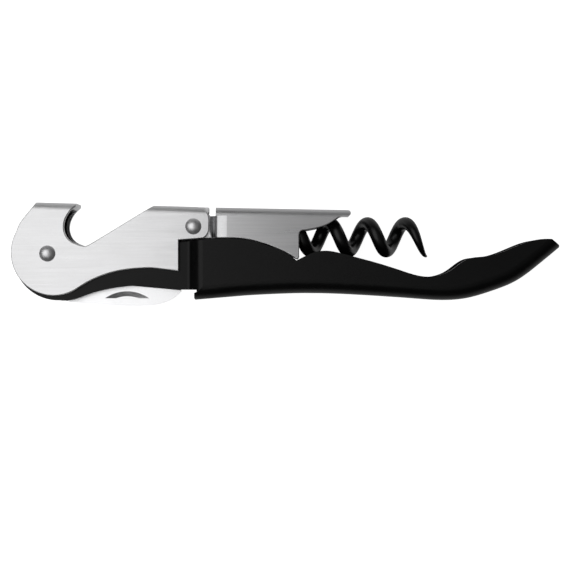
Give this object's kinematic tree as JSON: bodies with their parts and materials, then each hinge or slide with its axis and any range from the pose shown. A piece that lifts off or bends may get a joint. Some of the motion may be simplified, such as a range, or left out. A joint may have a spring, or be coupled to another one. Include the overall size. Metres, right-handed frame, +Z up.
{
  "type": "lever corkscrew",
  "caption": "Folding two-stage lever corkscrew with hollow steel handle, coated worm, foil knife and crown-cap lifter.",
  "frame": {"origin": "middle of the bottom of the closed tool's box, as it lies on its flat side", "axes": "+X along the handle towards its tail, +Y from the handle's back towards the levers, +Z up through the thickness"},
  "size_m": [0.1204, 0.0228, 0.0143],
  "materials": {
    "black_paint": "satin black enamel on pressed steel",
    "brushed_steel": "fine brushing along the lever, lightly satin",
    "brushed_steel_stage": "fine brushing along the lever, a little darker",
    "black_coating": "smooth low-friction black coating on steel wire",
    "blade_steel": "fine polished blade steel",
    "rivet_steel": "polished",
    "ring_steel": "plain turned steel"
  },
  "bodies": {
    "handle": {"handle_channel": "black_paint", "knife_spacer_back": "ring_steel", "knife_spacer_front": "ring_steel", "lever_washer_back": "ring_steel", "lever_washer_front": "ring_steel", "main_rivet": "rivet_steel", "worm_pin": "ring_steel", "worm_spacer_back": "ring_steel", "worm_spacer_front": "ring_steel"},
    "lever_first": {"first_stage_lever": "brushed_steel", "stage_rivet": "rivet_steel", "stage_washer_back": "ring_steel", "stage_washer_front": "ring_steel"},
    "lever_second": {"second_stage_lever": "brushed_steel_stage"},
    "worm": {"worm": "black_coating"},
    "knife": {"knife_blade": "blade_steel"}
  },
  "joints": [
    {"name": "lever_swing", "type": "hinge", "parent": "handle", "child": "lever_first", "pos_m": [-0.05222, 0.00014, 0.00715], "axis": [0, 0, 1], "range_deg": [0, 150]},
    {"name": "stage_fold", "type": "hinge", "parent": "lever_first", "child": "lever_second", "pos_m": [-0.02022, 0.00609, 0.00715], "axis": [0, 0, 1], "range_deg": [0, 30]},
    {"name": "worm_swing", "type": "hinge", "parent": "handle", "child": "worm", "pos_m": [-0.02622, -0.00006, 0.00715], "axis": [0, 0, 1], "range_deg": [0, 90]},
    {"name": "knife_fold", "type": "hinge", "parent": "handle", "child": "knife", "pos_m": [-0.05222, 0.00014, 0.00715], "axis": [0, 0, -1], "range_deg": [0, 150]}
  ],
  "couplings": [
    {"joint": "worm_swing", "follows": "lever_swing", "ratio": 0.6}
  ]
}
